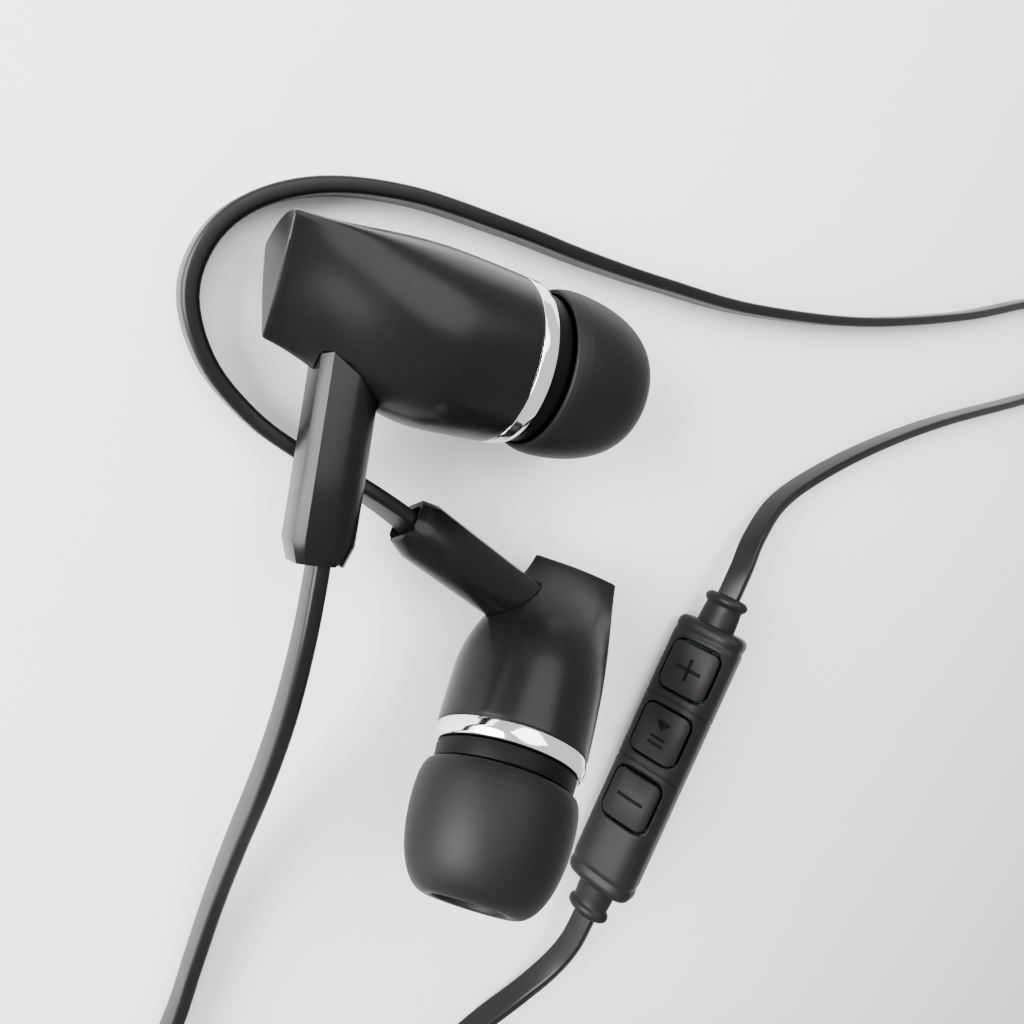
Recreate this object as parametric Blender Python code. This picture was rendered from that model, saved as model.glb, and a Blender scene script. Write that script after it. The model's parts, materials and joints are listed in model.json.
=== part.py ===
"""Wired in-ear earphones with flat ribbon cable, inline three-button remote, splitter and 3.5 mm plug.

The set lies on a flat surface at z = 0. Both buds are built in one bud frame (+X from the rear face
to the ear tip, -Z down the stem) and placed by an empty. The remote is built in its own frame
(+X along it, +Z out of the button face). Lengths below are in millimetres, world units are metres.
"""
import math

import bmesh
import bpy
from mathutils import Matrix, Vector

MM = 0.001
GAP = 0.3                    # air between pieces that meet

# bud
BODY_LENGTH = 15.6
BODY_RADIUS = 5.85
BELLY_RADIUS = 5.95
BELLY_X = 10.9
WALL = 0.8
REAR_HALF_WIDTH = 3.75
REAR_CORNER_Z = 3.85
REAR_TOP_Z = 4.45
REAR_POINT_Z = -2.85
RING_FRONT = 17.0
NOZZLE_RADIUS = 2.5
NOZZLE_BORE = 1.7
TIP_RADIUS = 6.05
TIP_END = 26.8
TIP_TRAVEL = 9.0
STEM_X = 5.3
STEM_RADIUS = 2.1
STEM_LENGTH = 15.5
ROUND_STEPS = 24

# remote
REMOTE_LENGTH = 30.0
REMOTE_WIDTH = 7.3
REMOTE_THICKNESS = 5.2
REMOTE_ROUNDING = 2.1
BUTTON_LENGTH = 5.2
BUTTON_WIDTH = 5.0
BUTTON_PROUD = 0.3
BUTTONS = (("volume_up", -9.8), ("play_pause", -2.6), ("volume_down", 4.8))

# ribbon, coils and plug
RIBBON_WIDTH = 2.4
RIBBON_THICKNESS = 1.1
ON_EDGE = RIBBON_WIDTH / 2 + 0.05      # height of a ribbon's middle when it stands on its edge
PLUG_AXIS_Z = 3.1
PLUG_START = Vector((21.91, -96.98, PLUG_AXIS_Z))

# places: rear face centre, direction to the ear tip, direction down the stem
LEFT_BUD = (Vector((-22.64, 29.69, 5.31)), Vector((0.956, -0.287, 0.059)), Vector((-0.293, -0.939, 0.181)))
RIGHT_BUD = (Vector((0.31, 6.42, 2.88)), Vector((-0.62, -0.60, 0.50)), Vector((-0.72, 0.68, -0.10)))
REMOTE_MIDDLE = Vector((13.41, -17.18, 3.72))
REMOTE_AXIS = Vector((-0.486, -0.874, 0.0))
REMOTE_FACE_RISE = math.radians(22)
SPLITTER_MIDDLE = Vector((-21.59, -75.08, 1.85))
LEFT_COIL = (Vector((-40.09, -50.58, 0.0)), 13.0, 2.9, 5.2)       # centre, mid radius, width, height
LEAD_COIL = (Vector((6.91, -80.58, 0.0)), 13.5, 6.0, 5.2)

LEFT_ROUTE = [(-22.2, 13.2, 8.5), (-23.5, 8.9, 8.8), (-25.0, 3.8, 8.2), (-26.6, -1.6, 6.6),
              (-28.3, -7.2, 4.4), (-30.1, -12.9, 2.5), (-32.1, -18.6, 1.5), (-34.5, -24.4, 1.25),
              (-38.1, -30.0, 1.25), (-43.3, -34.2, 1.25), (-49.1, -37.6, 1.25), (-54.1, -42.2, 1.25),
              (-56.1, -47.6, 1.25)]
LEFT_END_ROUTE = [(-39.1, -66.8, 1.25), (-33.6, -66.4, 1.25), (-28.7, -64.6, 1.25), (-24.9, -64.2, 1.25),
                  (-23.0, -65.8, 1.25), (-22.85, -69.2, 1.25)]
RIGHT_UPPER_ROUTE = [(-14.45, 14.1, 3.9), (-17.5, 16.8, 3.4), (-20.7, 19.2, 2.2), (-23.7, 22.0, 1.4),
                     (-26.0, 25.8, 1.25), (-26.3, 30.2, 1.25), (-23.7, 34.0, 1.25), (-18.7, 36.0, 1.25),
                     (-12.1, 36.0, 1.25), (-4.1, 34.3, 1.25), (3.9, 32.2, 1.25), (12.4, 30.3, 1.25),
                     (24.4, 28.1, 1.25), (42.9, 26.6, 1.25), (64.6, 26.9, 1.25), (82.9, 28.4, 1.25),
                     (91.4, 27.8, 1.25), (95.9, 24.2, 1.25), (96.3, 18.8, 1.25), (91.9, 15.2, 1.25),
                     (83.9, 14.4, 1.25), (64.2, 13.4, 1.25), (49.9, 11.8, 1.25), (38.9, 9.6, 1.25),
                     (31.5, 7.4, 1.7), (26.6, 4.6, 2.9), (24.2, 1.9, 3.6), (22.65, -0.6, 3.72)]
RIGHT_LOWER_ROUTE = [(4.2, -33.75, 3.72), (2.6, -36.6, 3.5), (0.5, -39.4, 2.7), (-2.9, -41.8, 1.8),
                     (-7.5, -43.5, 1.25), (-11.9, -45.2, 1.25), (-14.7, -49.0, 1.25), (-14.9, -54.0, 1.25),
                     (-14.1, -59.0, 1.25), (-15.7, -63.4, 1.25), (-18.9, -65.6, 1.25), (-20.4, -69.2, 1.25)]
LEAD_ROUTE = [(-21.6, -81.0, 1.25), (-21.3, -85.6, 1.25), (-18.5, -90.0, 1.25), (-13.5, -93.2, 1.25),
              (-7.1, -95.8, 1.25), (-0.1, -97.8, 1.25), (5.9, -99.0, 1.25)]
LEAD_END_ROUTE = [(9.4, -99.1, 3.6), (13.5, -98.7, 3.4), (17.5, -97.6, 3.2), (21.5, -97.0, 3.1)]


def clear_scene():
    for obj in list(bpy.data.objects):
        bpy.data.objects.remove(obj)


def new_collection(name):
    collection = bpy.data.collections.new(name)
    bpy.context.scene.collection.children.link(collection)
    return collection


clear_scene()
PARTS = new_collection("wired_earphones")
CUTTERS = new_collection("cutters")
MATERIALS = {}


def material(name, colour, roughness, metallic=0.0):
    """One Principled material, made the first time that it is asked for."""
    if name not in MATERIALS:
        made = bpy.data.materials.new(name)
        made.use_nodes = True
        shader = made.node_tree.nodes["Principled BSDF"]
        shader.inputs["Base Color"].default_value = (*colour, 1.0)
        shader.inputs["Roughness"].default_value = roughness
        shader.inputs["Metallic"].default_value = metallic
        MATERIALS[name] = made
    return MATERIALS[name]


def satin_black():
    return material("satin_black", (0.012, 0.012, 0.013), 0.35)


def silicone():
    return material("silicone", (0.016, 0.016, 0.017), 0.6)


def cable_rubber():
    return material("cable_rubber", (0.018, 0.018, 0.019), 0.45)


def bright_chrome():
    return material("bright_chrome", (0.9, 0.9, 0.9), 0.05, 1.0)


def bare_steel():
    return material("bare_steel", (0.5, 0.5, 0.5), 0.3, 1.0)


def gilt():
    return material("gilt", (0.8, 0.6, 0.25), 0.25, 1.0)


def board_green():
    return material("board_green", (0.02, 0.12, 0.05), 0.5)


def clear_film():
    return material("clear_film", (0.55, 0.5, 0.4), 0.3)


def place(obj, parent, finish, collection=None):
    (collection or PARTS).objects.link(obj)
    obj.parent = parent
    if finish:
        obj.data.materials.append(finish)
    return obj


def from_bmesh(name, bm, parent, finish, collection=None, smooth=True):
    """A named object from a bmesh that is in millimetres."""
    bmesh.ops.scale(bm, vec=(MM, MM, MM), verts=bm.verts)
    bmesh.ops.recalc_face_normals(bm, faces=bm.faces)
    mesh = bpy.data.meshes.new(name)
    bm.to_mesh(mesh)
    bm.free()
    if smooth:
        mesh.shade_smooth()
        mesh.set_sharp_from_angle(angle=math.radians(35))
    return place(bpy.data.objects.new(name, mesh), parent, finish, collection)


def box(name, low, high, parent, finish, bevel=0.0, steps=2, edges=None, collection=None):
    """A block between two corners, with its edges (or those that run along one axis) rounded."""
    bm = bmesh.new()
    bmesh.ops.create_cube(bm, size=1.0)
    low, high = Vector(low), Vector(high)
    bmesh.ops.scale(bm, vec=high - low, verts=bm.verts)
    bmesh.ops.translate(bm, vec=(low + high) / 2, verts=bm.verts)
    if bevel:
        chosen = [e for e in bm.edges if edges is None or runs_along(e, edges)]
        bmesh.ops.bevel(bm, geom=chosen, offset=bevel, segments=steps, profile=0.5, affect="EDGES")
    return from_bmesh(name, bm, parent, finish, collection)


def runs_along(edge, axis):
    across = edge.verts[0].co - edge.verts[1].co
    return abs(across[axis]) > 0.9 * across.length


def turned(name, profile, parent, finish, steps=ROUND_STEPS, collection=None):
    """A closed profile of (x, radius) pairs spun round the X axis."""
    bm = bmesh.new()
    corners = [bm.verts.new((x, 0.0, r)) for x, r in profile]
    loop = [bm.edges.new((a, b)) for a, b in zip(corners, corners[1:] + corners[:1]) if not on_axis(a, b)]
    bmesh.ops.spin(bm, geom=corners + loop, cent=(0, 0, 0), axis=(1, 0, 0), angle=2 * math.pi,
                   steps=steps, use_merge=True)
    bmesh.ops.remove_doubles(bm, verts=bm.verts, dist=0.001)
    bmesh.ops.dissolve_degenerate(bm, edges=bm.edges, dist=0.0005)
    return from_bmesh(name, bm, parent, finish, collection)


def on_axis(a, b):
    return a.co.z < 1e-6 and b.co.z < 1e-6


def loft(name, rings, parent, finish, collection=None):
    """Closed skin through rings of equal length, with a flat face on each end."""
    bm = bmesh.new()
    made = [[bm.verts.new(p) for p in ring] for ring in rings]
    for one, two in zip(made, made[1:]):
        for i in range(len(one)):
            j = (i + 1) % len(one)
            bm.faces.new((one[i], one[j], two[j], two[i]))
    bm.faces.new(made[0])
    bm.faces.new(made[-1])
    return from_bmesh(name, bm, parent, finish, collection)


def boolean(target, cutter, operation="DIFFERENCE"):
    modifier = target.modifiers.new(cutter.name, "BOOLEAN")
    modifier.operation = operation
    modifier.solver = "EXACT"
    modifier.object = cutter
    cutter.hide_render = True
    cutter.display_type = "WIRE"


def frame_empty(name, origin, x_axis, down):
    """An empty whose X runs along x_axis and whose -Z runs along down."""
    x_axis = x_axis.normalized()
    up = -(down - x_axis * down.dot(x_axis)).normalized()
    side = up.cross(x_axis)
    empty = bpy.data.objects.new(name, None)
    turn = Matrix((x_axis, side, up)).transposed().to_4x4()
    empty.matrix_world = Matrix.Translation(origin * MM) @ turn
    PARTS.objects.link(empty)
    return empty


# ------------------------------------------------------------------ bud housing

TOP_STEPS = 8
FLANK_STEPS = 9
CORNER_ANGLE = math.radians(47)


def rear_outline():
    """The pick-shaped rear face: an arched top between two corners, and two flanks down to a point."""
    points = []
    for i in range(TOP_STEPS):
        t = -1 + 2 * i / TOP_STEPS
        points.append((t * REAR_HALF_WIDTH, REAR_TOP_Z - (REAR_TOP_Z - REAR_CORNER_Z) * t * t))
    for side in (1, -1):
        for i in range(FLANK_STEPS):
            t = i / FLANK_STEPS if side == 1 else 1 - i / FLANK_STEPS
            bulge = 0.35 * math.sin(math.pi * t)
            y = REAR_HALF_WIDTH * (1 - t) + bulge * 0.87
            z = REAR_CORNER_Z + (REAR_POINT_Z - REAR_CORNER_Z) * t - bulge * 0.5
            points.append((side * y, z))
    return points


def round_outline():
    """Points of a unit circle that stand opposite the rear outline's."""
    angles = [CORNER_ANGLE * (-1 + 2 * i / TOP_STEPS) for i in range(TOP_STEPS)]
    rest = math.pi - CORNER_ANGLE
    angles += [CORNER_ANGLE + rest * i / FLANK_STEPS for i in range(FLANK_STEPS)]
    angles += [math.pi + rest * i / FLANK_STEPS for i in range(FLANK_STEPS)]
    return [(math.sin(a), math.cos(a)) for a in angles]


def body_section(x, inset=0.0):
    """The housing's outline at x, drawn in by inset."""
    t = min(x / BELLY_X, 1.0)
    roundness = math.sin(math.pi / 2 * t) ** 1.35
    ease = max(x - BELLY_X, 0.0) / (BODY_LENGTH - BELLY_X)
    radius = BELLY_RADIUS + (BODY_RADIUS - BELLY_RADIUS) * ease * ease
    ring = []
    for (ry, rz), (cy, cz) in zip(rear_outline(), round_outline()):
        y = ry + (cy * radius - ry) * roundness
        z = rz + (cz * radius - rz) * roundness
        out = math.hypot(y, z)
        ring.append((x, y * (1 - inset / out), z * (1 - inset / out)))
    return ring


def stem_section(z, grow=0.0):
    """The stem's outline: a narrow flat face to the rear and a round front."""
    r = STEM_RADIUS + grow
    points = [(STEM_X - r, 1.3, z), (STEM_X - r * 0.72, r * 0.93, z)]
    for i in range(9):
        a = math.pi / 2 - math.pi * i / 8
        points.append((STEM_X + r * math.cos(a), r * math.sin(a), z))
    points += [(STEM_X - r * 0.72, -r * 0.93, z), (STEM_X - r, -1.3, z)]
    return points


def make_housing(side, hub):
    stations = (0.0, 0.5, 1.6, 3.2, 5.2, 7.2, 9.2, BELLY_X, 13.2, BODY_LENGTH)
    housing = loft(side + "_housing", [body_section(x) for x in stations], hub, satin_black())
    hollow = (1.0, 3.2, 5.2, 7.2, 9.2, BELLY_X, 13.2, BODY_LENGTH + 1.0)
    rings = [body_section(x, WALL) for x in hollow]
    boolean(housing, loft(side + "_hollow_cutter", rings, hub, None, CUTTERS))
    hole = [stem_section(z, GAP) for z in (0.0, -9.0)]
    boolean(housing, loft(side + "_stem_hole_cutter", hole, hub, None, CUTTERS))


def make_stem(side, hub):
    rings = [stem_section(-1.0), stem_section(-STEM_LENGTH + 1.3), stem_section(-STEM_LENGTH, -0.45)]
    stem = loft(side + "_stem", rings, hub, satin_black())
    slot = box(side + "_slot_cutter", (STEM_X - 0.85, -1.5, -20), (STEM_X + 0.85, 1.5, 3), hub, None,
               collection=CUTTERS)
    boolean(stem, slot)
    mouth = box(side + "_mouth_cutter", (STEM_X - 1.2, -1.55, -20), (STEM_X + 1.3, 1.55, -13.6), hub,
                None, 0.5, 2, collection=CUTTERS)
    boolean(stem, mouth)
    box(side + "_cable_anchor", (STEM_X - 0.55, -1.2, -12.6), (STEM_X + 0.55, 1.2, -8.0), hub, cable_rubber())


def make_front(side, hub):
    turned(side + "_trim_ring", [(15.9, 5.85), (15.9, 4.95), (RING_FRONT, 4.95), (RING_FRONT, 5.6),
                                 (RING_FRONT - 0.25, 5.85)], hub, bright_chrome(), 32)
    bore, tube = NOZZLE_BORE, NOZZLE_RADIUS
    turned(side + "_front_cap", [(12.6, 4.65), (12.6, 4.15), (16.8, 4.15), (17.4, 3.2), (17.7, bore),
                                 (24.3, bore), (24.6, tube - 0.3), (24.6, 2.6), (24.2, 2.85),
                                 (23.6, 2.85), (23.4, tube), (18.4, tube), (18.2, 5.3), (17.3, 5.35),
                                 (17.3, 4.65)], hub, satin_black())
    turned(side + "_driver_basket", [(13.0, 3.85), (13.0, 2.75), (15.5, 2.75), (15.5, 3.85)], hub,
           bare_steel(), 20)
    turned(side + "_driver_magnet", [(13.0, 0.0), (13.0, 2.4), (15.2, 2.4), (15.2, 0.0)], hub,
           bare_steel(), 20)
    turned(side + "_diaphragm", [(15.8, 0.0), (15.85, 2.0), (15.8, 3.85), (16.1, 3.85), (16.15, 2.0),
                                 (16.4, 0.0)], hub, clear_film(), 20)
    box(side + "_terminal_board", (12.1, -1.6, -2.0), (12.6, 1.6, 2.0), hub, board_green())
    turned(side + "_nozzle_mesh", [(23.6, 0.0), (23.6, 1.38), (23.9, 1.38), (23.9, 0.0)], hub,
           bare_steel(), 16)
    dome = [(18.5, 5.35), (18.5, 5.75), (19.3, 6.0), (20.2, TIP_RADIUS), (21.4, 5.97), (22.7, 5.66),
            (24.0, 5.08), (25.2, 4.3), (26.2, 3.5), (TIP_END, 2.95), (TIP_END - 0.4, 2.75)]
    inside = [(25.6, 3.15), (18.7, 3.15), (18.7, 3.85), (23.2, 3.95), (23.7, 4.4), (22.4, 5.1),
              (20.6, 5.5)]
    turned(side + "_ear_tip", dome + inside, hub, silicone())


def make_bud(side, origin, forward, down):
    hub = frame_empty(side + "_bud_hub", origin, forward, down)
    make_housing(side, hub)
    make_stem(side, hub)
    make_front(side, hub)


# ------------------------------------------------------------------ remote


def remote_block(name, grow, hub, collection):
    half = Vector((REMOTE_LENGTH / 2, REMOTE_WIDTH / 2, REMOTE_THICKNESS / 2))
    half += Vector((grow, grow, grow))
    bm = bmesh.new()
    bmesh.ops.create_cube(bm, size=1.0)
    bmesh.ops.scale(bm, vec=half * 2, verts=bm.verts)
    along = [e for e in bm.edges if runs_along(e, 0)]
    bmesh.ops.bevel(bm, geom=along, offset=REMOTE_ROUNDING + grow, segments=5, profile=0.5, affect="EDGES")
    ends = [e for e in bm.edges if abs(e.verts[0].co.x) > half.x - 0.01 and not runs_along(e, 0)]
    bmesh.ops.bevel(bm, geom=ends, offset=0.6, segments=2, profile=0.5, affect="EDGES")
    return from_bmesh(name, bm, hub, satin_black() if collection == PARTS else None, collection)


def make_remote():
    across = Vector((0, 0, 1)).cross(REMOTE_AXIS)
    face = across * math.cos(REMOTE_FACE_RISE) * -1 + Vector((0, 0, math.sin(REMOTE_FACE_RISE)))
    hub = frame_empty("remote_hub", REMOTE_MIDDLE, REMOTE_AXIS, -face)
    length, width, thick = REMOTE_LENGTH / 2, REMOTE_WIDTH / 2, REMOTE_THICKNESS / 2
    cavity = ((-length + 1.0, -width + 0.9, -thick + 0.8), (length - 1.0, width - 0.9, thick - 0.9))
    for name, low, high in (("remote_top_shell", 0.15, 9), ("remote_bottom_shell", -9, -0.15)):
        shell = remote_block(name, 0.0, hub, PARTS)
        half = box(name + "_half_cutter", (-40, -20, low), (40, 20, high), hub, None, collection=CUTTERS)
        boolean(shell, half, "INTERSECT")
        hollow = box(name + "_hollow_cutter", *cavity, hub, None, 1.0, 2, 0, CUTTERS)
        boolean(shell, hollow)
        if low > 0:
            for button, x in BUTTONS:
                hole = button_prism(button + "_hole_cutter", x, GAP, 0.6, hub, CUTTERS)
                boolean(shell, hole)
    for button, x in BUTTONS:
        cap = button_prism(button + "_button", x, 0.0, 1.25, hub, PARTS)
        skin = remote_block(button + "_skin_cutter", BUTTON_PROUD, hub, CUTTERS)
        boolean(cap, skin, "INTERSECT")
        box(button + "_switch", (x - 1.4, -1.4, 0.25), (x + 1.4, 1.4, 0.8), hub, bare_steel())
    box("remote_board", (-12.5, -2.2, -0.75), (12.5, 2.2, -0.05), hub, board_green())
    box("microphone", (8.8, -1.3, 0.25), (11.6, 1.3, 1.1), hub, bare_steel())
    for name, sign in (("remote_upper_relief", -1), ("remote_lower_relief", 1)):
        rings = [oval(sign * x, w, t) for x, w, t in ((15.3, 2.1, 1.5), (17.3, 1.95, 1.35),
                                                      (17.6, 2.3, 1.6), (18.2, 2.3, 1.6),
                                                      (18.6, 1.9, 1.25))]
        loft(name, rings, hub, cable_rubber())
    return hub


def button_prism(name, x, grow, low, hub, collection):
    half_length, half_width = BUTTON_LENGTH / 2 + grow, BUTTON_WIDTH / 2 + grow
    finish = satin_black() if collection == PARTS else None
    return box(name, (x - half_length, -half_width, low), (x + half_length, half_width, 4.0), hub, finish,
               1.0 + grow, 3, 2, collection)


def oval(x, half_width, half_thickness, count=16):
    turn = [2 * math.pi * i / count for i in range(count)]
    return [(x, half_width * math.cos(a), half_thickness * math.sin(a)) for a in turn]


# ------------------------------------------------------------------ splitter and plug


def make_splitter():
    hub = frame_empty("splitter_hub", SPLITTER_MIDDLE, Vector((0, -1, 0)), Vector((0, 0, -1)))
    for name, low, high in (("splitter_top_shell", 0.15, 1.75), ("splitter_bottom_shell", -1.8, -0.15)):
        box(name, (-5.5, -2.4, low), (5.5, 2.4, high), hub, satin_black(), 0.7, 2, 2)


def make_plug():
    hub = frame_empty("plug_hub", PLUG_START, Vector((1, 0, 0)), Vector((0, 0, -1)))
    turned("plug_relief", [(0.0, 0.0), (0.0, 1.5), (5.7, 2.1), (5.7, 0.0)], hub, cable_rubber(), 20)
    turned("plug_grip", [(6.0, 0.0), (6.0, 2.6), (6.8, 3.0), (18.4, 3.0), (19.2, 2.6), (19.2, 1.4),
                         (17.0, 1.4), (17.0, 0.0)], hub, satin_black(), 24)
    turned("plug_core", [(17.3, 0.0), (17.3, 1.1), (30.9, 1.1), (30.9, 0.0)], hub, cable_rubber(), 16)
    metal = (("plug_sleeve", 19.5, 23.4), ("plug_ground_ring", 23.8, 25.8), ("plug_audio_ring", 26.2, 28.2))
    for name, start, end in metal:
        turned(name, [(start, 1.75), (start, 1.4), (end, 1.4), (end, 1.75)], hub, gilt(), 20)
    turned("plug_tip", [(31.2, 0.0), (31.2, 1.2), (31.6, 1.3), (32.2, 1.75), (33.5, 0.9), (33.8, 0.0)],
           hub, gilt(), 20)
    for name, start in (("plug_insulator_a", 28.5), ("plug_insulator_b", 30.0)):
        turned(name, [(start, 1.72), (start, 1.4), (start + 0.9, 1.4), (start + 0.9, 1.72)], hub,
               cable_rubber(), 20)


# ------------------------------------------------------------------ ribbons and coils


def smooth_route(route, spacing):
    """Points at an even spacing on a curve through the route's own points."""
    p = [Vector(q) for q in route]
    p = [p[0] * 2 - p[1], *p, p[-1] * 2 - p[-2]]
    fine = []
    for a, b, c, d in zip(p, p[1:], p[2:], p[3:]):
        for i in range(24):
            t = i / 24
            fine.append(0.5 * (2 * b + (c - a) * t + (2 * a - 5 * b + 4 * c - d) * t ** 2
                               + (3 * b - a - 3 * c + d) * t ** 3))
    fine.append(p[-2])
    total = sum((a - b).length for a, b in zip(fine, fine[1:]))
    count = max(round(total / spacing), 2)
    even, walked, wanted = [fine[0]], 0.0, 1
    for a, b in zip(fine, fine[1:]):
        step = (b - a).length
        while wanted < count and walked + step >= total * wanted / count:
            even.append(a.lerp(b, (total * wanted / count - walked) / step))
            wanted += 1
        walked += step
    return [*even, fine[-1]]


def ribbon(name, route):
    """A plain tube as wide as the ribbon, on the ribbon's middle line."""
    curve = bpy.data.curves.new(name, "CURVE")
    curve.dimensions = "3D"
    curve.bevel_depth = RIBBON_WIDTH / 2 * MM
    curve.bevel_resolution = 2
    curve.use_fill_caps = True
    points = smooth_route(route, RIBBON_WIDTH * 1.5)
    spline = curve.splines.new("POLY")
    spline.points.add(len(points) - 1)
    for point, at in zip(spline.points, points):
        point.co = (*(at * MM), 1.0)
    return place(bpy.data.objects.new(name, curve), None, cable_rubber())


def coil_ring(name, centre, radius, width, height):
    """The outer shape of a wound coil, lying on the surface."""
    hub = frame_empty(name + "_hub", centre, Vector((0, 0, 1)), Vector((1, 0, 0)))
    inner, outer = radius - width / 2, radius + width / 2
    turned(name, [(0.05, inner), (height, inner), (height, outer), (0.05, outer)], hub, cable_rubber(), 32)


def make_cords():
    ribbon("left_ribbon", LEFT_ROUTE)
    coil_ring("left_coil", *LEFT_COIL)
    ribbon("left_ribbon_end", LEFT_END_ROUTE)
    ribbon("right_upper_ribbon", RIGHT_UPPER_ROUTE)
    ribbon("right_lower_ribbon", RIGHT_LOWER_ROUTE)
    ribbon("lead_start", LEAD_ROUTE)
    coil_ring("lead_coil", *LEAD_COIL)
    ribbon("lead_end", LEAD_END_ROUTE)


make_bud("left", *LEFT_BUD)
make_bud("right", *RIGHT_BUD)
make_remote()
make_splitter()
make_plug()
make_cords()
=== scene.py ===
"""Looks for the wired earphones: camera, light, cords, and a fine surface for every piece that shows.

Lengths are in millimetres unless a name says otherwise, and meshes are written in world metres.
"""
import json
import math

import bmesh
import bpy
from mathutils import Matrix, Vector


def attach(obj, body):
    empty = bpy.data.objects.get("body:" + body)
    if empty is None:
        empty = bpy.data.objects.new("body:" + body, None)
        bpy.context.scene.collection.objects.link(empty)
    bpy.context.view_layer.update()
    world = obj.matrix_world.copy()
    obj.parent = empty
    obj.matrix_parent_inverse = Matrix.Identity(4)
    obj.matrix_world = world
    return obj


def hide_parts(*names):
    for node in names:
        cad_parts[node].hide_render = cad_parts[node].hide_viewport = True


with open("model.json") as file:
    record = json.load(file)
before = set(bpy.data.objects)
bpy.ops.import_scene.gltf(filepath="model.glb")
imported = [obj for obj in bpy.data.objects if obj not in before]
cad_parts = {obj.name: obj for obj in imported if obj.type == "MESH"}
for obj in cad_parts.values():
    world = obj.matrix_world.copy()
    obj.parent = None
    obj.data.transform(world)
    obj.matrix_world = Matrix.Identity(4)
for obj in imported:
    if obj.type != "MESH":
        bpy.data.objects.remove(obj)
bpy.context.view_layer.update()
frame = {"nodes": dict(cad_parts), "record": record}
MM = 0.001
WELD = 0.0005

# ------------------------------------------------------------------ the places that the solids have

LEFT_HUB = (Vector((-22.64, 29.69, 5.31)), Vector((0.956, -0.287, 0.059)), Vector((-0.293, -0.939, 0.181)))
RIGHT_HUB = (Vector((0.31, 6.42, 2.88)), Vector((-0.62, -0.60, 0.50)), Vector((-0.72, 0.68, -0.10)))
REMOTE_MIDDLE = Vector((13.41, -17.18, 3.72))
REMOTE_AXIS = Vector((-0.486, -0.874, 0.0))
REMOTE_FACE_RISE = math.radians(22)
SPLITTER_MIDDLE = Vector((-21.59, -75.08, 1.85))
PLUG_START = Vector((21.91, -96.98, 3.1))
LEFT_COIL_MIDDLE = Vector((-40.09, -50.58, 0.0))
LEAD_COIL_MIDDLE = Vector((6.91, -80.58, 0.0))

LEFT_ROUTE = [(-22.2, 13.2, 8.5), (-23.5, 8.9, 8.8), (-25.0, 3.8, 8.2), (-26.6, -1.6, 6.6),
              (-28.3, -7.2, 4.4), (-30.1, -12.9, 2.5), (-32.1, -18.6, 1.5), (-34.5, -24.4, 1.25),
              (-38.1, -30.0, 1.25), (-43.3, -34.2, 1.25), (-49.1, -37.6, 1.25), (-54.1, -42.2, 1.25),
              (-56.1, -47.6, 1.25)]
LEFT_END_ROUTE = [(-39.1, -66.8, 1.25), (-33.6, -66.4, 1.25), (-28.7, -64.6, 1.25), (-24.9, -64.2, 1.25),
                  (-23.0, -65.8, 1.25), (-22.85, -69.2, 1.25)]
RIGHT_UPPER_ROUTE = [(-14.45, 14.1, 3.9), (-17.5, 16.8, 3.4), (-20.7, 19.2, 2.2), (-23.7, 22.0, 1.4),
                     (-26.0, 25.8, 1.25), (-26.3, 30.2, 1.25), (-23.7, 34.0, 1.25), (-18.7, 36.0, 1.25),
                     (-12.1, 36.0, 1.25), (-4.1, 34.3, 1.25), (3.9, 32.2, 1.25), (12.4, 30.3, 1.25),
                     (24.4, 28.1, 1.25), (42.9, 26.6, 1.25), (64.6, 26.9, 1.25), (82.9, 28.4, 1.25),
                     (91.4, 27.8, 1.25), (95.9, 24.2, 1.25), (96.3, 18.8, 1.25), (91.9, 15.2, 1.25),
                     (83.9, 14.4, 1.25), (64.2, 13.4, 1.25), (49.9, 11.8, 1.25), (38.9, 9.6, 1.25),
                     (31.5, 7.4, 1.7), (26.6, 4.6, 2.9), (24.2, 1.9, 3.6), (22.65, -0.6, 3.72)]
RIGHT_LOWER_ROUTE = [(4.2, -33.75, 3.72), (2.6, -36.6, 3.5), (0.5, -39.4, 2.7), (-2.9, -41.8, 1.8),
                     (-7.5, -43.5, 1.25), (-11.9, -45.2, 1.25), (-14.7, -49.0, 1.25), (-14.9, -54.0, 1.25),
                     (-14.1, -59.0, 1.25), (-15.7, -63.4, 1.25), (-18.9, -65.6, 1.25), (-20.4, -69.2, 1.25)]
LEAD_ROUTE = [(-21.6, -81.0, 1.25), (-21.3, -85.6, 1.25), (-18.5, -90.0, 1.25), (-13.5, -93.2, 1.25),
              (-7.1, -95.8, 1.25), (-0.1, -97.8, 1.25), (5.9, -99.0, 1.25)]
LEAD_END_ROUTE = [(9.4, -99.1, 3.6), (13.5, -98.7, 3.4), (17.5, -97.6, 3.2), (21.5, -97.0, 3.1)]

RIBBON_WIDTH = 2.4
RIBBON_THICKNESS = 1.08
RIBBON_EDGE_ROUNDING = 0.34
LOWEST = RIBBON_WIDTH / 2 + 0.01
RIBBON_REST_Z = 1.25
SECOND_LAYER_RISE = 2.42
LAYER_CLIMB_TURNS = 0.25
POINTS_A_TURN = 20
COLLAR_HOLD_X = 17.4
UP = Vector((0, 0, 1))


def hub_matrix(origin, forward, down):
    """The frame of a piece whose X runs along forward and whose -Z runs along down."""
    forward = forward.normalized()
    up = -(down - forward * down.dot(forward)).normalized()
    turn = Matrix((forward, up.cross(forward), up)).transposed().to_4x4()
    return Matrix.Translation(origin) @ turn


def remote_face():
    across = UP.cross(REMOTE_AXIS)
    return across * -math.cos(REMOTE_FACE_RISE) + UP * math.sin(REMOTE_FACE_RISE)


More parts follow.
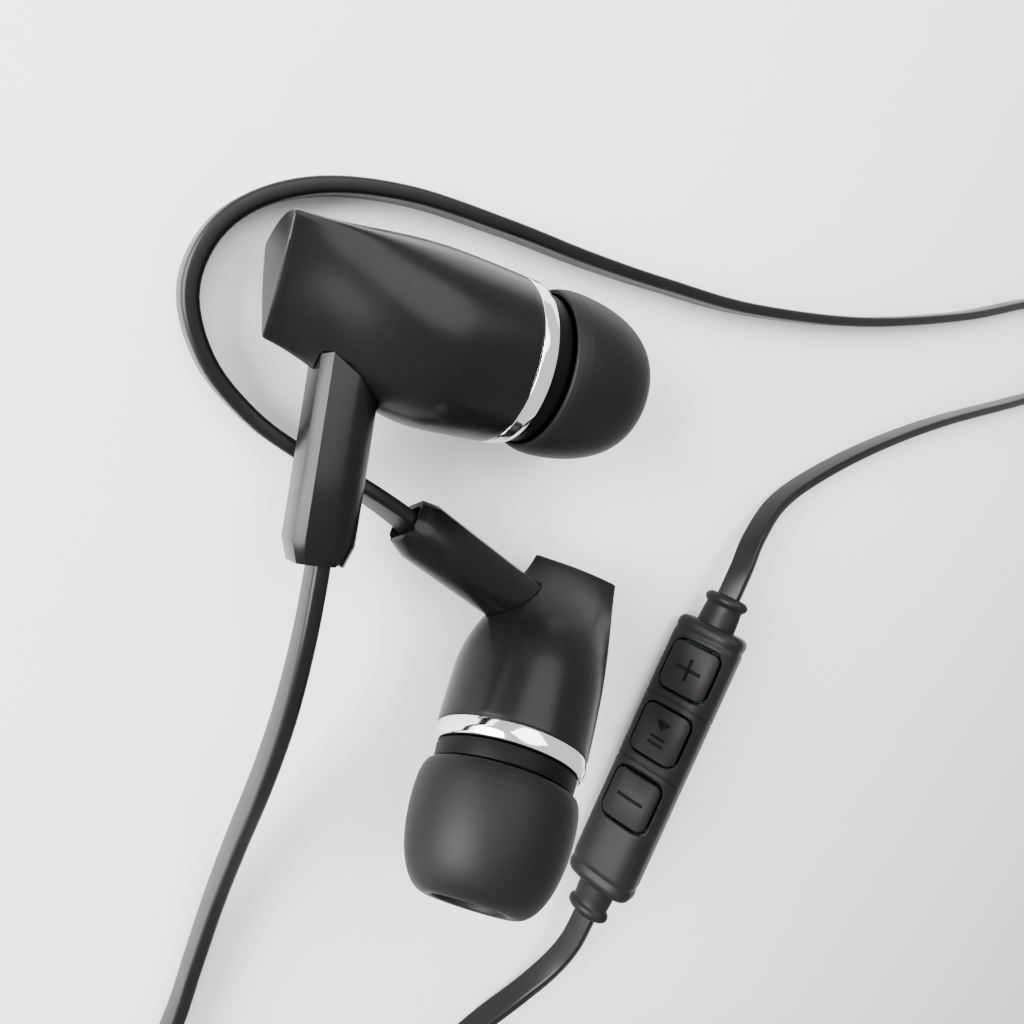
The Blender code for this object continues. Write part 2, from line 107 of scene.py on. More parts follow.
LEFT = hub_matrix(*LEFT_HUB)
RIGHT = hub_matrix(*RIGHT_HUB)
REMOTE = hub_matrix(REMOTE_MIDDLE, REMOTE_AXIS, -remote_face())
SPLITTER = hub_matrix(SPLITTER_MIDDLE, Vector((0, -1, 0)), -UP)
PLUG = hub_matrix(PLUG_START, Vector((1, 0, 0)), -UP)

# ------------------------------------------------------------------ camera and light

CAMERA_PLACE = Vector((-33.6, 29.5, 49.0))
CAMERA_AIM = Vector((-2.5, 11.5, 0.0))
CAMERA_UP = Vector((0.159, 0.955, -0.250))
LENS = 24.6


def aimed(place, aim, up):
    """A matrix at place that looks at aim, with up near the top of the picture."""
    back = (place - aim).normalized()
    right = up.cross(back).normalized()
    turn = Matrix((right, back.cross(right), back)).transposed().to_4x4()
    return Matrix.Translation(place * MM) @ turn


def make_camera():
    lens = bpy.data.cameras.new("camera")
    lens.lens = LENS
    lens.sensor_width = 36
    lens.clip_start = 0.002
    camera = bpy.data.objects.new("camera", lens)
    camera.matrix_world = aimed(CAMERA_PLACE, CAMERA_AIM, CAMERA_UP)
    bpy.context.scene.collection.objects.link(camera)
    bpy.context.scene.camera = camera


def make_light(name, place, size, power):
    lamp = bpy.data.lights.new(name, "AREA")
    lamp.shape = "DISK"
    lamp.size = size * MM
    lamp.energy = power
    made = bpy.data.objects.new(name, lamp)
    made.matrix_world = aimed(Vector(place), Vector((0, 10, 5)), Vector((0.3, 1, 0.2)))
    bpy.context.scene.collection.objects.link(made)


def make_world():
    world = bpy.data.worlds.new("studio")
    world.use_nodes = True
    world.node_tree.nodes["Background"].inputs["Color"].default_value = (1, 1, 1, 1)
    world.node_tree.nodes["Background"].inputs["Strength"].default_value = 0.95
    bpy.context.scene.world = world


make_camera()
make_world()
make_light("left_softbox", (-210, 90, 70), 190, 3.2)
make_light("top_softbox", (10, 190, 230), 300, 1.3)

# ------------------------------------------------------------------ finishes

MOTTLE_SCALE = 260
GRAIN_HEIGHT_M = 0.00002
ROUGHNESS_SWING = 0.05


def finish(name, colour, roughness, grain, depth, metallic=0.0, spread=0.12, specular=0.5):
    """A moulded or plated finish: fine grain in the bump and slow change in colour and roughness."""
    made = bpy.data.materials.new(name)
    made.use_nodes = True
    nodes, links = made.node_tree.nodes, made.node_tree.links
    shader = nodes["Principled BSDF"]
    shader.inputs["Metallic"].default_value = metallic
    shader.inputs["Specular IOR Level"].default_value = specular
    where = nodes.new("ShaderNodeTexCoord")
    fine, slow = nodes.new("ShaderNodeTexNoise"), nodes.new("ShaderNodeTexNoise")
    fine.inputs["Scale"].default_value = grain
    fine.inputs["Detail"].default_value = 3
    slow.inputs["Scale"].default_value = MOTTLE_SCALE
    slow.inputs["Detail"].default_value = 2
    for texture in (fine, slow):
        links.new(where.outputs["Object"], texture.inputs["Vector"])
    bump = nodes.new("ShaderNodeBump")
    bump.inputs["Strength"].default_value = depth
    bump.inputs["Distance"].default_value = GRAIN_HEIGHT_M
    links.new(fine.outputs["Fac"], bump.inputs["Height"])
    links.new(bump.outputs["Normal"], shader.inputs["Normal"])
    rough = nodes.new("ShaderNodeMapRange")
    rough.inputs["To Min"].default_value = max(roughness - ROUGHNESS_SWING, 0.02)
    rough.inputs["To Max"].default_value = roughness + ROUGHNESS_SWING
    links.new(slow.outputs["Fac"], rough.inputs["Value"])
    links.new(rough.outputs["Result"], shader.inputs["Roughness"])
    ramp = nodes.new("ShaderNodeValToRGB")
    ramp.color_ramp.elements[0].position = 0.3
    ramp.color_ramp.elements[1].position = 0.7
    ramp.color_ramp.elements[0].color = (*[c * (1 - spread) for c in colour], 1)
    ramp.color_ramp.elements[1].color = (*[min(c * (1 + spread), 1) for c in colour], 1)
    links.new(slow.outputs["Fac"], ramp.inputs["Fac"])
    links.new(ramp.outputs["Color"], shader.inputs["Base Color"])
    return made


SATIN_BLACK = finish("satin_black_moulding", (0.0035, 0.0035, 0.0037), 0.27, 9000, 0.1, specular=0.15)
# Painted shade: a darker, duller black than the satin moulding. It goes on the nozzle cap down inside the
# ear tip and on the button marks, to stand for the shade in those recesses.
PAINTED_SHADE_BLACK = finish("painted_shade_black", (0.001, 0.001, 0.001), 0.5, 9000, 0.1, specular=0.08)
SILICONE = finish("soft_silicone", (0.0045, 0.0045, 0.0047), 0.5, 12000, 0.2, specular=0.11)
JACKET = finish("ribbon_jacket", (0.0035, 0.0035, 0.0036), 0.36, 7000, 0.2, specular=0.18)
REMOTE_BLACK = finish("remote_soft_black", (0.006, 0.006, 0.0062), 0.42, 11000, 0.2, specular=0.11)
MIRROR = finish("mirror_chrome", (0.92, 0.92, 0.92), 0.07, 3000, 0.02, 1.0, spread=0.02)
STEEL = finish("bare_steel_finish", (0.5, 0.5, 0.5), 0.3, 6000, 0.2, 1.0)
GILT = finish("gilt_plating", (0.83, 0.62, 0.28), 0.2, 5000, 0.08, 1.0, spread=0.05)
BOARD = finish("board_green_finish", (0.02, 0.12, 0.05), 0.45, 6000, 0.2)
FILM = finish("film_finish", (0.55, 0.5, 0.4), 0.3, 5000, 0.1)
TIE = finish("soft_tie", (0.03, 0.03, 0.03), 0.6, 4000, 0.4)
FLOOR = finish("pale_floor", (0.94, 0.94, 0.94), 0.9, 800, 0.02, spread=0.005, specular=0.0)

# ------------------------------------------------------------------ mesh helpers


def piece(name, bm, matrix, look, slot, body="root", smooth=35, replaces=()):
    """An object from a bmesh in a piece's own frame, in millimetres."""
    bmesh.ops.remove_doubles(bm, verts=bm.verts, dist=WELD)
    bmesh.ops.recalc_face_normals(bm, faces=bm.faces)
    bmesh.ops.transform(bm, matrix=Matrix.Scale(MM, 4) @ matrix, verts=bm.verts)
    mesh = bpy.data.meshes.new(name)
    bm.to_mesh(mesh)
    bm.free()
    mesh.shade_smooth()
    mesh.set_sharp_from_angle(angle=math.radians(smooth))
    made = bpy.data.objects.new(name, mesh)
    bpy.context.scene.collection.objects.link(made)
    mesh.materials.append(look)
    if slot:
        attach(made, body)
        if replaces:
            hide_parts(*replaces)
    return made


def skin(rings):
    """A closed skin through rings of equal length, with a flat face on each end."""
    bm = bmesh.new()
    made = [[bm.verts.new(p) for p in ring] for ring in rings]
    for one, two in zip(made, made[1:]):
        for i in range(len(one)):
            j = (i + 1) % len(one)
            bm.faces.new((one[i], one[j], two[j], two[i]))
    bm.faces.new(made[0])
    bm.faces.new(made[-1])
    return bm


def rounded(profile, radius, steps=4):
    """A closed outline with each corner that stands off the axis turned into a small arc."""
    points = [Vector(p) for p in profile]
    out = []
    for i, p in enumerate(points):
        a, b = points[i - 1], points[(i + 1) % len(points)]
        if p.y < 0.01:
            out.append(p)
            continue
        r = min(radius, (a - p).length * 0.45, (b - p).length * 0.45)
        one, two = p + (a - p).normalized() * r, p + (b - p).normalized() * r
        for k in range(steps + 1):
            t = k / steps
            out.append(one * (1 - t) ** 2 + p * 2 * t * (1 - t) + two * t * t)
    return out


def spun(profile, radius=0.12, steps=128):
    """A closed (x, radius) outline turned round X."""
    bm = bmesh.new()
    corners = [bm.verts.new((p.x, 0.0, p.y)) for p in rounded(profile, radius)]
    pairs = zip(corners, corners[1:] + corners[:1])
    loop = [bm.edges.new((a, b)) for a, b in pairs if a.co.z > 1e-6 or b.co.z > 1e-6]
    bmesh.ops.spin(bm, geom=corners + loop, cent=(0, 0, 0), axis=(1, 0, 0), angle=2 * math.pi,
                   steps=steps, use_merge=True)
    bmesh.ops.remove_doubles(bm, verts=bm.verts, dist=WELD)
    return bm


def block(low, high, bevel=0.0, steps=3):
    bm = bmesh.new()
    bmesh.ops.create_cube(bm, size=1.0)
    low, high = Vector(low), Vector(high)
    bmesh.ops.scale(bm, vec=high - low, verts=bm.verts)
    bmesh.ops.translate(bm, vec=(low + high) / 2, verts=bm.verts)
    if bevel:
        bmesh.ops.bevel(bm, geom=bm.edges[:], offset=bevel, segments=steps, profile=0.5, affect="EDGES")
    return bm


def modified(made, kind, **settings):
    """Adds a modifier, applies it, and leaves the mesh as it is shown."""
    bpy.ops.object.select_all(action="DESELECT")
    made.select_set(True)
    bpy.context.view_layer.objects.active = made
    modifier = made.modifiers.new(kind.lower(), kind)
    for key, value in settings.items():
        setattr(modifier, key, value)
    bpy.ops.object.modifier_apply(modifier=modifier.name)
    return made


def cut(made, bm, matrix, operation="DIFFERENCE"):
    """Cuts a shape away from a piece, or keeps only what the two share."""
    cutter = piece("cutter", bm, matrix, PAINTED_SHADE_BLACK, None)
    modified(made, "BOOLEAN", object=cutter, operation=operation, solver="EXACT")
    bpy.data.objects.remove(cutter)
    return made


# ------------------------------------------------------------------ cords


def through(points, step=0.7):
    """A smooth line through points, with a point about every step."""
    p = [Vector(q) for q in points]
    p = [p[0] * 2 - p[1], *p, p[-1] * 2 - p[-2]]
    line = []
    for a, b, c, d in zip(p, p[1:], p[2:], p[3:]):
        count = max(round((c - b).length / step), 1)
        for i in range(count):
            t = i / count
            line.append(0.5 * (2 * b + (c - a) * t + (2 * a - 5 * b + 4 * c - d) * t ** 2
                               + (3 * b - a - 3 * c + d) * t ** 3))
    line.append(p[-2])
    return [Vector((q.x, q.y, max(q.z, LOWEST))) for q in line]


def wound(middle, start, turns, outer, inner):
    """Turns on edge: inwards along the surface, up a layer, and outwards again on top."""
    points, count = [], round(turns * POINTS_A_TURN)
    climb = LAYER_CLIMB_TURNS / turns
    for i in range(count + 1):
        t = i / count
        if t < 0.5 - climb / 2:
            depth = t / (0.5 - climb / 2)
        elif t > 0.5 + climb / 2:
            depth = (1 - t) / (0.5 - climb / 2)
        else:
            depth = 1.0
        lift = min(max((t - 0.5 + climb / 2) / climb, 0.0), 1.0)
        lift = lift * lift * (3 - 2 * lift)
        r = outer + (inner - outer) * depth
        a = start + 2 * math.pi * turns * t
        height = RIBBON_REST_Z + SECOND_LAYER_RISE * lift
        points.append(middle + Vector((r * math.cos(a), r * math.sin(a), height)))
    return points


def ribbon_outline():
    """The ribbon's section: (along its width, across it), a slab with rounded edges."""
    half_w, half_t, r = RIBBON_WIDTH / 2, RIBBON_THICKNESS / 2, RIBBON_EDGE_ROUNDING
    ring = []
    for cx, cy, first in ((1, 1, 0), (-1, 1, 90), (-1, -1, 180), (1, -1, 270)):
        for k in range(5):
            a = math.radians(first + 22.5 * k)
            ring.append((cx * (half_w - r) + r * math.cos(a), cy * (half_t - r) + r * math.sin(a)))
    return ring


def ribbon(name, line, start_up, end_up, settle=11.0):
    """The flat cable along a line. It leaves its ends the way that they stand, and settles on edge."""
    total = sum((a - b).length for a, b in zip(line, line[1:]))
    outline = ribbon_outline()
    rings, walked = [], 0.0
    for i, at in enumerate(line):
        before, after = line[max(i - 1, 0)], line[min(i + 1, len(line) - 1)]
        forward = (after - before).normalized()
        if i:
            walked += (line[i] - line[i - 1]).length
        near_start = max(1 - walked / settle, 0.0)
        near_end = max(1 - (total - walked) / settle, 0.0)
        up = UP.lerp(start_up, near_start ** 0.7 if near_start else 0.0)
        up = up.lerp(end_up, near_end ** 0.7 if near_end else 0.0)
        across = forward.cross(up).normalized()
        up = across.cross(forward)
        rings.append([at + up * w + across * t for w, t in outline])
    made = piece(name, skin(rings), Matrix.Identity(4), JACKET, "cable_rubber")
    return made, [p * MM for p in line], total * MM


def standing(direction):
    """The same direction, pointing upwards."""
    return direction if direction.z > 0 else -direction


def place_in(matrix, point):
    return matrix @ Vector(point)


LEFT_SIDE = standing(LEFT.to_3x3() @ Vector((0, 1, 0)))
RIGHT_SIDE = standing(RIGHT.to_3x3() @ Vector((0, 1, 0)))
REMOTE_SIDE = standing(REMOTE.to_3x3() @ Vector((0, 1, 0)))
STEM_X = 5.3
STEM_LENGTH = 15.5


def inside_stem(hub):
    """Where a ribbon runs before it leaves the stem's mouth."""
    return [place_in(hub, (STEM_X, 0, z)) for z in (-13.8, -14.8)]



left_turns = wound(LEFT_COIL_MIDDLE, math.radians(196), 2.12, 13.85, 12.15)
left_cord, left_line, left_length = ribbon(
    "left_branch", through([*inside_stem(LEFT), *LEFT_ROUTE, *left_turns, *LEFT_END_ROUTE]), LEFT_SIDE, UP)
upper_cord, upper_line, upper_length = ribbon(
    "right_branch_upper",
    through([*inside_stem(RIGHT), *RIGHT_UPPER_ROUTE, place_in(REMOTE, (-COLLAR_HOLD_X, 0, 0))]),
    RIGHT_SIDE, REMOTE_SIDE)
lower_cord, lower_line, lower_length = ribbon(
    "right_branch_lower",
    through([place_in(REMOTE, (COLLAR_HOLD_X, 0, 0)), *RIGHT_LOWER_ROUTE]),
    REMOTE_SIDE, UP)
lead_turns = wound(LEAD_COIL_MIDDLE, math.radians(300), 8.82, 15.85, 11.1)
lead_cord, lead_line, lead_length = ribbon(
    "main_lead", through([*LEAD_ROUTE, *lead_turns, *LEAD_END_ROUTE]), UP, UP)

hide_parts("left_ribbon", "left_coil", "left_ribbon_end")
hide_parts("right_upper_ribbon")
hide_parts("right_lower_ribbon")
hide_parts("lead_start", "lead_coil", "lead_end")

# ------------------------------------------------------------------ bud

REAR_HALF_WIDTH, REAR_CORNER_Z, REAR_TOP_Z, REAR_POINT_Z = 3.75, 3.85, 4.45, -2.85
BELLY_X, BELLY_RADIUS, BODY_LENGTH, BODY_RADIUS = 10.9, 5.95, 15.6, 5.85
CORNER_ANGLE = math.radians(47)
TOP_STEPS, FLANK_STEPS = 36, 40
STEM_RADIUS = 2.1
WALL = 0.8
SLOT_HALF_THICKNESS, SLOT_HALF_WIDTH = 0.85, 1.5
MOUTH_HALF_THICKNESS = 1.15


def rear_outline():
    """The pick-shaped rear face: an arched top between two corners, and two flanks down to a point."""
    points = []
    for i in range(TOP_STEPS):
        t = -1 + 2 * i / TOP_STEPS
        points.append((t * REAR_HALF_WIDTH, REAR_TOP_Z - (REAR_TOP_Z - REAR_CORNER_Z) * t * t))
    for side in (1, -1):
        for i in range(FLANK_STEPS):
            t = i / FLANK_STEPS if side == 1 else 1 - i / FLANK_STEPS
            bulge = 0.35 * math.sin(math.pi * t)
            y = REAR_HALF_WIDTH * (1 - t) + bulge * 0.87
            z = REAR_CORNER_Z + (REAR_POINT_Z - REAR_CORNER_Z) * t - bulge * 0.5
            points.append((side * y, z))
    return softened(points)


def softened(points):
    """An outline whose corners are worn a little."""
    for _ in range(2):
        n = len(points)
        points = [((points[i - 1][0] + 2 * points[i][0] + points[(i + 1) % n][0]) / 4,
                   (points[i - 1][1] + 2 * points[i][1] + points[(i + 1) % n][1]) / 4) for i in range(n)]
    return points


def round_outline():
    angles = [CORNER_ANGLE * (-1 + 2 * i / TOP_STEPS) for i in range(TOP_STEPS)]
    rest = math.pi - CORNER_ANGLE
    angles += [CORNER_ANGLE + rest * i / FLANK_STEPS for i in range(FLANK_STEPS)]
    angles += [math.pi + rest * i / FLANK_STEPS for i in range(FLANK_STEPS)]
    return [(math.sin(a), math.cos(a)) for a in angles]


REAR, ROUND = rear_outline(), round_outline()


def body_section(x, inset=0.0):
    t = min(x / BELLY_X, 1.0)
    roundness = math.sin(math.pi / 2 * t) ** 1.35
    ease = max(x - BELLY_X, 0.0) / (BODY_LENGTH - BELLY_X)
    radius = BELLY_RADIUS + (BODY_RADIUS - BELLY_RADIUS) * ease * ease
    ring = []
    for (ry, rz), (cy, cz) in zip(REAR, ROUND):
        y, z = ry + (cy * radius - ry) * roundness, rz + (cz * radius - rz) * roundness
        out = math.hypot(y, z)
        ring.append((x, y * (1 - inset / out), z * (1 - inset / out)))
    return ring


def stem_section(z, grow=0.0):
    r = STEM_RADIUS + grow
    points = [(STEM_X - r, 1.3, z), (STEM_X - r * 0.72, r * 0.93, z)]
    for i in range(25):
        a = math.pi / 2 - math.pi * i / 24
        points.append((STEM_X + r * math.cos(a), r * math.sin(a), z))
    return [*points, (STEM_X - r * 0.72, -r * 0.93, z), (STEM_X - r, -1.3, z)]


def make_housing(side, hub):
    outer = [body_section(0.0, 0.14), body_section(0.04, 0.06), body_section(0.14)]
    outer += [body_section(0.35 + (BODY_LENGTH - 0.55) * i / 44) for i in range(45)]
    outer += [body_section(BODY_LENGTH - 0.08, 0.02), body_section(BODY_LENGTH + 0.04, 0.12)]
    inner = [body_section(BODY_LENGTH + 0.04 - 14.6 * i / 14, WALL) for i in range(15)]
    made = piece(side + "_housing_shell", skin([*outer, *inner]), hub, SATIN_BLACK, "satin_black",
                 smooth=24, replaces=(side + "_housing",))
    return cut(made, skin([stem_section(z, 0.05) for z in (0.5, -9.0)]), hub)


def make_stem(side, hub):
    rings = [stem_section(0.0)] + [stem_section(z) for z in (-5.0, -10.0, -14.15)]
    rings.append(stem_section(-STEM_LENGTH, -0.45))
    made = piece(side + "_stem_shell", skin(rings), hub, SATIN_BLACK, "satin_black", smooth=24,
                 replaces=(side + "_stem",))
    slot = block((STEM_X - SLOT_HALF_THICKNESS, -SLOT_HALF_WIDTH, -20),
                 (STEM_X + SLOT_HALF_THICKNESS, SLOT_HALF_WIDTH, 3))
    mouth = block((STEM_X - MOUTH_HALF_THICKNESS, -SLOT_HALF_WIDTH, -20),
                  (STEM_X + MOUTH_HALF_THICKNESS, SLOT_HALF_WIDTH, -13.0), 0.45)
    cut(made, slot, hub)
    cut(made, mouth, hub)
    modified(made, "BEVEL", width=0.09 * MM, segments=2, limit_method="ANGLE", angle_limit=math.radians(28))
    made.data.shade_smooth()
    made.data.set_sharp_from_angle(angle=math.radians(30))
    return made


def make_ring(side, hub):
    profile = [(15.66, 5.83), (15.66, 4.95), (16.95, 4.95), (16.95, 5.68), (16.4, 5.86)]
    return piece(side + "_chrome_ring", spun(profile, 0.14), hub, MIRROR, "bright_chrome",
                 replaces=(side + "_trim_ring",))


def make_cap(side, hub):
    profile = [(12.6, 4.65), (12.6, 4.15), (16.8, 4.15), (17.4, 3.2), (17.7, 1.7), (24.3, 1.7),
               (24.6, 2.2), (24.6, 2.6), (24.2, 2.85), (23.6, 2.85), (23.4, 2.5), (18.5, 2.5),
               (18.3, 5.3), (17.02, 5.42), (17.02, 4.65)]
    # Painted shade: the cap is satin black, but it is drawn in the darker black to stand for the shade down
    # inside the tip.
    return piece(side + "_nozzle_cap", spun(profile, 0.15), hub, PAINTED_SHADE_BLACK, "satin_black",
                 replaces=(side + "_front_cap",))


def make_tip(side, hub):
    dome = []
    for i in range(19):
        a = math.pi / 2 * i / 18
        dome.append((20.2 + 6.5 * math.sin(a), 2.95 + 3.1 * math.cos(a) ** 0.92))
    skirt = [(18.42, 5.5), (18.5, 5.72), (18.9, 5.9), (19.5, 6.02)]
    lip = [(26.62, 2.72), (26.3, 2.62), (25.7, 2.75), (25.2, 3.15)]
    inside = [(18.7, 3.15), (18.7, 3.85), (23.2, 3.95), (23.7, 4.4), (22.4, 5.05), (20.6, 5.42),
              (18.6, 5.4)]
    return piece(side + "_silicone_tip", spun([*skirt, *dome[:-1], *lip, *inside], 0.1), hub, SILICONE,
                 "silicone", body=side + "_tip", smooth=50, replaces=(side + "_ear_tip",))


for side, hub in (("left", LEFT), ("right", RIGHT)):
    make_housing(side, hub)
    make_stem(side, hub)
    make_ring(side, hub)
    make_cap(side, hub)
    make_tip(side, hub)

# ------------------------------------------------------------------ remote

HALF_WIDTH, HALF_THICK = 3.65, 2.6
BUTTONS = (("volume_up", -9.8), ("play_pause", -2.6), ("volume_down", 4.8))
SEAMS = (-5.3, 2.0)
SEAM_GROOVE = ((-0.13, 0.0), (-0.06, 0.1), (0.06, 0.1), (0.13, 0.0))
BUTTON_HALF_LENGTH, BUTTON_HALF_WIDTH, BUTTON_CORNER = 2.6, 2.5, 0.85
BUTTON_GAP = 0.2
BUTTON_PROUD, MARK_PROUD = 0.26, 0.275


def remote_arc(x, inset, upper, grow=0.0, bow=0.0):
    """Half of the remote's rounded section, closed along the parting line."""
    w, t = HALF_WIDTH - inset + grow, HALF_THICK - inset + grow
    sign = 1 if upper else -1
    ring = []
    for i in range(33):
        a = math.pi * i / 32
        y = math.copysign(abs(math.cos(a)) ** 0.72, math.cos(a)) * w
        z = sign * (0.03 + (t - 0.03) * math.sin(a) ** 0.62)
        ring.append((x - bow * math.sin(a), y, z))
    return ring


def bowed(x):
    """How far a section of the face leans towards the upper end: fully in the middle, not at the ends."""
    return 0.9 * min(max((12.6 - abs(x)) / 6.0, 0.0), 1.0)


def remote_stations():
    """(x, inset) along the case: rounded ends, a groove behind each lip, and a hair-line at each seam."""
    end = [(14.98, 0.75), (14.93, 0.5), (14.8, 0.28), (14.6, 0.12), (14.35, 0.02), (14.1, 0.0),
           (13.75, 0.02), (13.55, 0.1), (13.35, 0.1), (13.15, 0.02), (12.9, 0.0)]
    middle = [(-12.45 + 0.6 * i, 0.0) for i in range(43)]
    for seam in SEAMS:
        middle = [m for m in middle if abs(m[0] - seam) > 0.25]
        middle += [(seam + dx, inset) for dx, inset in SEAM_GROOVE]
    return sorted([(-x, inset) for x, inset in end] + middle + end)


def button_prism(x, grow, low):
    half_x, half_y = BUTTON_HALF_LENGTH + grow, BUTTON_HALF_WIDTH + grow
    bm = block((x - half_x, -half_y, low), (x + half_x, half_y, 4.0))
    upright = [e for e in bm.edges if abs(e.verts[0].co.z - e.verts[1].co.z) > 1]
    bmesh.ops.bevel(bm, geom=upright, offset=BUTTON_CORNER + grow, segments=6, profile=0.5, affect="EDGES")
    return bm


def make_case():
    for name, upper in (("remote_top_shell", True), ("remote_bottom_shell", False)):
        lean = bowed if upper else (lambda x: 0.0)
        rings = [remote_arc(x, inset, upper, bow=lean(x)) for x, inset in remote_stations()]
        made = piece(name.replace("shell", "case"), skin(rings), REMOTE, REMOTE_BLACK, "satin_black",
                     smooth=30, replaces=(name,))
        cut(made, block((-13.6, -2.6, -1.7), (13.6, 2.6, 1.55)), REMOTE)
        if upper:
            for _, x in BUTTONS:
                cut(made, button_prism(x, BUTTON_GAP, 1.2), REMOTE)
        modified(made, "WEIGHTED_NORMAL", keep_sharp=True)


def mark_shapes(kind, x):
    """Strokes laid into a button, a hair above it: plus, minus, or a triangle and two bars."""
    deep = (2.0, 3.4)
    if kind == "volume_up":
        return [block((x - 0.17, -1.35, deep[0]), (x + 0.17, 1.35, deep[1])),
                block((x - 1.2, -0.17, deep[0]), (x + 1.2, 0.17, deep[1]))]
    if kind == "volume_down":
        return [block((x - 0.17, -1.45, deep[0]), (x + 0.17, 1.45, deep[1]))]
    bars = [block((x + dx - 0.14, -0.85, deep[0]), (x + dx + 0.14, 0.85, deep[1])) for dx in (0.45, 1.15)]
    wedge = skin([[(x - 1.35, -0.85, z), (x - 1.35, 0.85, z), (x - 0.35, 0.0, z)] for z in deep])
    return [*bars, wedge]


def face_skin(proud):
    """A shape that follows the case's face from a little above it."""
    return skin([remote_arc(x, 0.0, True, proud) for x in (-15.0, 0.0, 15.0)])


def make_buttons():
    for kind, x in BUTTONS:
        made = piece(kind + "_key", button_prism(x, 0.0, 1.28), REMOTE, REMOTE_BLACK, "satin_black",
                     body=kind + "_key", replaces=(kind + "_button",))
        cut(made, face_skin(BUTTON_PROUD), REMOTE, "INTERSECT")
        modified(made, "BEVEL", width=0.16 * MM, segments=3, limit_method="ANGLE",
                 angle_limit=math.radians(40))
        for n, stroke in enumerate(mark_shapes(kind, x)):
            # The marks are the keys' real symbols; their darker black is painted shade, standing in for the
            # shade in the strokes' grooves.
            inlay = piece(f"{kind}_mark_{n}", stroke, REMOTE, PAINTED_SHADE_BLACK, "satin_black",
                          body=kind + "_key")
            cut(inlay, face_skin(MARK_PROUD), REMOTE, "INTERSECT")
        made.data.shade_smooth()
        made.data.set_sharp_from_angle(angle=math.radians(38))


def oval(x, half_width, half_thickness):
    turn = [2 * math.pi * i / 48 for i in range(48)]
    return [(x, half_width * math.cos(a), half_thickness * math.sin(a)) for a in turn]


def make_reliefs():
    shape = ((14.6, 2.05, 1.5), (15.2, 2.05, 1.5), (16.4, 2.0, 1.42), (17.1, 1.92, 1.36),
             (17.25, 1.95, 1.38), (17.4, 2.1, 1.52), (17.55, 2.24, 1.62), (17.8, 2.3, 1.66),
             (18.05, 2.26, 1.62), (18.25, 2.1, 1.48), (18.4, 1.85, 1.28), (18.45, 1.4, 0.85))
    for name, sign in (("remote_upper_relief", -1), ("remote_lower_relief", 1)):
        rings = [oval(sign * x, w, t) for x, w, t in shape]
        piece(name.replace("relief", "collar"), skin(rings), REMOTE, REMOTE_BLACK, "cable_rubber",
              smooth=40, replaces=(name,))


make_case()
make_buttons()
make_reliefs()

# ------------------------------------------------------------------ splitter and plug


def make_splitter():
    made = []
    for name, low, high in (("splitter_top_shell", 0.03, 1.75), ("splitter_bottom_shell", -1.8, -0.03)):
        shape = block((-5.5, -2.4, low), (5.5, 2.4, high))
        half = piece(name.replace("shell", "cover"), shape, SPLITTER, SATIN_BLACK, "satin_black",
                     replaces=(name,))
        modified(half, "BEVEL", width=0.5 * MM, segments=5, limit_method="ANGLE")
        half.data.shade_smooth()
        made.append(half)
    return made


PLUG_CONTACTS = (("plug_sleeve", 19.22, 23.6), ("plug_ground_ring", 23.9, 25.9),
                 ("plug_audio_ring", 26.2, 28.2))


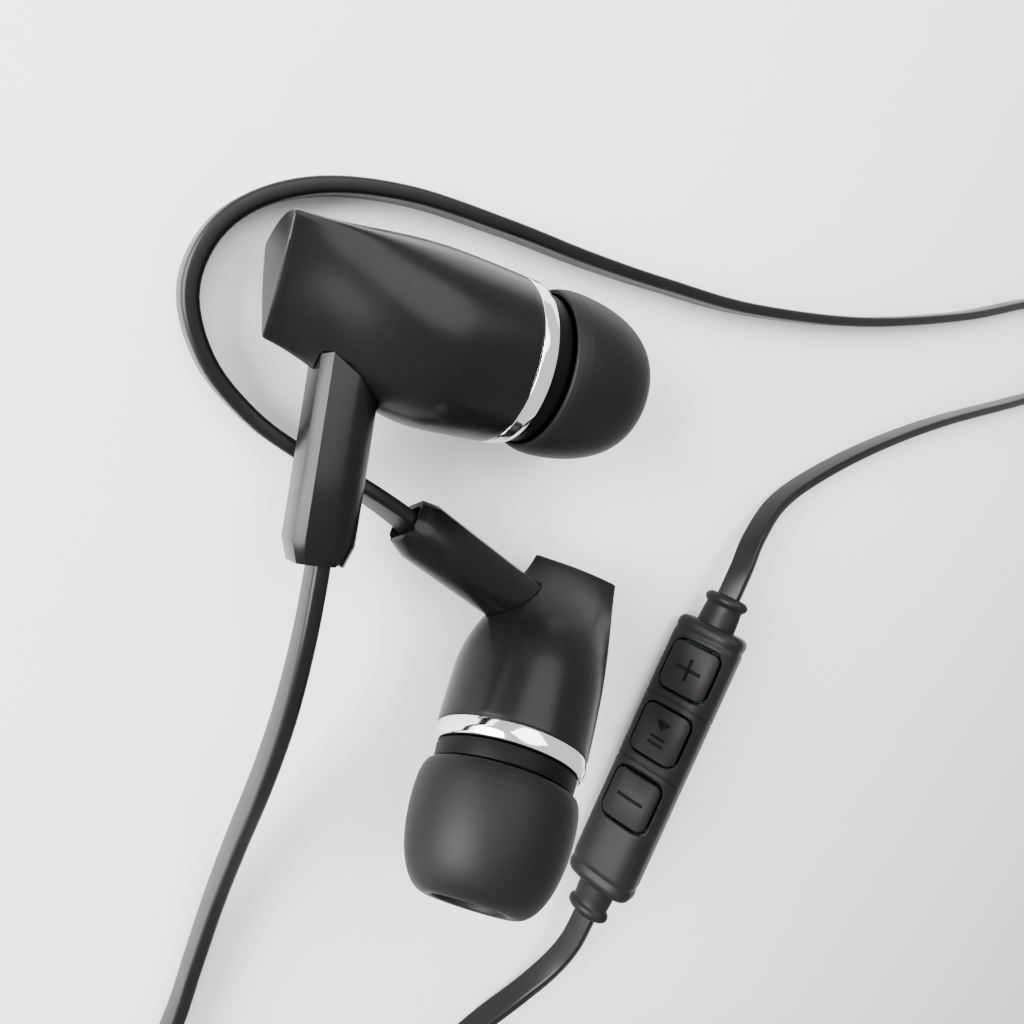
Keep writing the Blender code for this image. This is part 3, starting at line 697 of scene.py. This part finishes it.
def make_plug():
    grooves = []
    for i in range(5):
        x = 8.2 + 1.1 * i
        grooves += [(x, 3.0), (x + 0.15, 2.82), (x + 0.45, 2.82), (x + 0.6, 3.0)]
    grip = [(6.0, 0.0), (6.0, 2.5), (6.9, 3.0), *grooves, (18.3, 3.0), (19.2, 2.5), (19.2, 1.4),
            (17.0, 1.4), (17.0, 0.0)]
    relief = [(0.0, 0.0), (0.0, 1.5)]
    for i in range(4):
        x = 1.0 + 1.2 * i
        relief += [(x, 1.6 + 0.1 * i), (x + 0.15, 1.42 + 0.1 * i), (x + 0.45, 1.42 + 0.1 * i),
                   (x + 0.6, 1.64 + 0.1 * i)]
    relief += [(5.9, 2.1), (5.9, 0.0)]
    handle = piece("plug_handle", spun(grip, 0.1), PLUG, SATIN_BLACK, "satin_black", replaces=("plug_grip",))
    boot = piece("plug_boot", spun(relief, 0.08), PLUG, JACKET, "cable_rubber", replaces=("plug_relief",))
    made = [handle, boot]
    for name, start, end in PLUG_CONTACTS:
        profile = [(start, 1.75), (start, 1.4), (end, 1.4), (end, 1.75)]
        made.append(piece(name + "_plated", spun(profile, 0.06), PLUG, GILT, "gilt", replaces=(name,)))
    nose = [(31.2, 0.0), (31.2, 1.1), (31.55, 1.2), (32.1, 1.72), (32.4, 1.7), (33.4, 0.9), (33.8, 0.0)]
    made.append(piece("plug_nose", spun(nose, 0.1), PLUG, GILT, "gilt", replaces=("plug_tip",)))
    return made


splitter = make_splitter()
plug = make_plug()


def make_tie(name, middle, angle, r, half):
    """A soft band round a coil, to keep its turns together."""
    turn = Matrix.Translation(middle) @ Matrix.Rotation(math.radians(angle), 4, "Z")
    shape = block((r - half, -1.5, 0.04), (r + half, 1.5, 5.05), 0.35, 4)
    made = piece(name, shape, turn, TIE, "cable_rubber")
    made.data.shade_smooth()
    return made


left_tie = make_tie("left_tie", LEFT_COIL_MIDDLE, 20, 12.97, 0.85)
lead_tie = make_tie("lead_tie", LEAD_COIL_MIDDLE, 60, 13.3, 2.95)

# ------------------------------------------------------------------ solids that stay

LOOKS = {"satin_black": SATIN_BLACK, "silicone": SILICONE, "cable_rubber": JACKET, "bright_chrome": MIRROR,
         "bare_steel": STEEL, "gilt": GILT, "board_green": BOARD, "clear_film": FILM}
SLOTS = {part["node"]: part["material_slot"] for part in frame["record"]["subparts"]}
for node, obj in frame["nodes"].items():
    obj.data.materials.clear()
    obj.data.materials.append(LOOKS[SLOTS[node]])

# ------------------------------------------------------------------ what the cords are


# ------------------------------------------------------------------ floor

bpy.ops.object.select_all(action="DESELECT")
bpy.ops.mesh.primitive_plane_add(size=6.0, location=(0, 0, -0.00001))
floor = bpy.context.object
floor.name = "pale_floor"
floor.data.materials.append(FLOOR)
